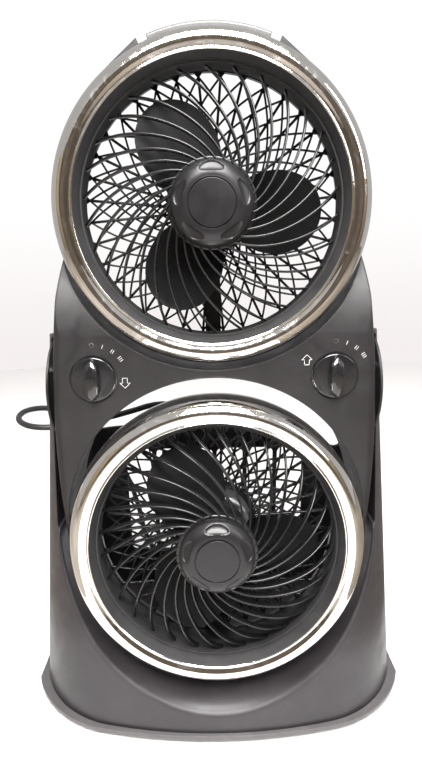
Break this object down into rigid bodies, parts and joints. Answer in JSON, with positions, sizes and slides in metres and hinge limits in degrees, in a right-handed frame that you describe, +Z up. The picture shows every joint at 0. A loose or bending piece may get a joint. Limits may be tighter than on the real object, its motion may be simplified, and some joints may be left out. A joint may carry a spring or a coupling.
{
  "type": "twin-head table fan",
  "caption": "Table and floor fan with two ringed tilting heads, one above the other, in a tilting frame on a bowl-fronted base; rotary speed knobs and a carry handle.",
  "frame": {"origin": "on the floor, under the middle of the standing fan", "axes": "+X to the fan's left-hand side as it faces the viewer's right, +Y from front to back, +Z up"},
  "size_m": [0.4125, 0.3905, 0.612],
  "materials": {
    "bearing_bronze": "sintered bronze",
    "blade_black": "black satin plastic",
    "body_plastic": "satin moulded charcoal plastic",
    "bush_nylon": "natural nylon",
    "chrome_ring": "polished chrome plating",
    "cord_pvc": "black PVC sheath",
    "duct_black": "black satin plastic",
    "foot_rubber": "black rubber",
    "grille_black": "black plastic with a soft gloss",
    "handle_plastic": "satin grey moulded plastic",
    "hub_grey": "dark grey satin plastic",
    "knob_black": "glossy black plastic",
    "motor_copper": "laminated core with copper windings",
    "motor_steel": "pressed steel",
    "pin_steel": "turned steel",
    "plug_brass": "bare brass",
    "plug_pvc": "black moulded PVC",
    "screw_steel": "blackened steel",
    "switch_plastic": "off-white switch body",
    "tray_plastic": "satin moulded charcoal plastic"
  },
  "bodies": {
    "base": {"base_front_shell": "body_plastic", "base_rear_cover": "body_plastic", "base_screws": "screw_steel", "base_tray": "tray_plastic", "cord_coil": "cord_pvc", "cord_gland": "plug_pvc", "cord_relief": "plug_pvc", "frame_bushes": "bush_nylon", "left_ear_cap": "body_plastic", "mains_plug": "plug_pvc", "plug_lead": "cord_pvc", "plug_pins": "plug_brass", "power_cord": "cord_pvc", "right_ear_cap": "body_plastic", "rubber_feet": "foot_rubber"},
    "frame": {"carry_handle": "handle_plastic", "frame_front_shell": "body_plastic", "frame_rear_shell": "body_plastic", "frame_screws": "screw_steel", "frame_tilt_pins": "pin_steel", "lower_speed_switch": "switch_plastic", "tilt_bushes": "bush_nylon", "upper_speed_switch": "switch_plastic"},
    "upper_head": {"upper_bezel_ring": "chrome_ring", "upper_duct": "duct_black", "upper_front_grille": "grille_black", "upper_grille_screws": "screw_steel", "upper_hub_cap": "hub_grey", "upper_motor_bearings": "bearing_bronze", "upper_motor_front_cup": "motor_steel", "upper_motor_rear_cup": "motor_steel", "upper_motor_stator": "motor_copper", "upper_rear_grille": "grille_black", "upper_tilt_pins": "pin_steel"},
    "lower_head": {"lower_bezel_ring": "chrome_ring", "lower_duct": "duct_black", "lower_front_grille": "grille_black", "lower_grille_screws": "screw_steel", "lower_hub_cap": "hub_grey", "lower_motor_bearings": "bearing_bronze", "lower_motor_front_cup": "motor_steel", "lower_motor_rear_cup": "motor_steel", "lower_motor_stator": "motor_copper", "lower_rear_grille": "grille_black", "lower_tilt_pins": "pin_steel"},
    "upper_fan": {"upper_fan_blade": "blade_black", "upper_fan_nut": "blade_black", "upper_fan_rotor": "pin_steel"},
    "lower_fan": {"lower_fan_blade": "blade_black", "lower_fan_nut": "blade_black", "lower_fan_rotor": "pin_steel"},
    "upper_knob": {"upper_speed_knob": "knob_black"},
    "lower_knob": {"lower_speed_knob": "knob_black"}
  },
  "joints": [
    {"name": "frame_tilt", "type": "hinge", "parent": "base", "child": "frame", "pos_m": [0, -0.01, 0.322], "axis": [-1, 0, 0], "range_deg": [-8, 8]},
    {"name": "upper_head_tilt", "type": "hinge", "parent": "frame", "child": "upper_head", "pos_m": [0, -0.0225, 0.466], "axis": [-1, 0, 0], "range_deg": [-25, 25]},
    {"name": "lower_head_tilt", "type": "hinge", "parent": "frame", "child": "lower_head", "pos_m": [0, -0.05085, 0.18131], "axis": [-1, 0, 0], "range_deg": [-15, 20]},
    {"name": "upper_fan_spin", "type": "hinge", "parent": "upper_head", "child": "upper_fan", "pos_m": [0, -0.0675, 0.466], "axis": [0, -1, 0], "continuous": true},
    {"name": "lower_fan_spin", "type": "hinge", "parent": "lower_head", "child": "lower_fan", "pos_m": [0, -0.0957, 0.185], "axis": [0, -0.9966, 0.0819], "continuous": true},
    {"name": "upper_speed_turn", "type": "hinge", "parent": "frame", "child": "upper_knob", "pos_m": [0.1035, -0.06, 0.3255], "axis": [0, 1, 0], "range_deg": [0, 54]},
    {"name": "lower_speed_turn", "type": "hinge", "parent": "frame", "child": "lower_knob", "pos_m": [-0.1035, -0.06, 0.3255], "axis": [0, 1, 0], "range_deg": [0, 54]}
  ]
}
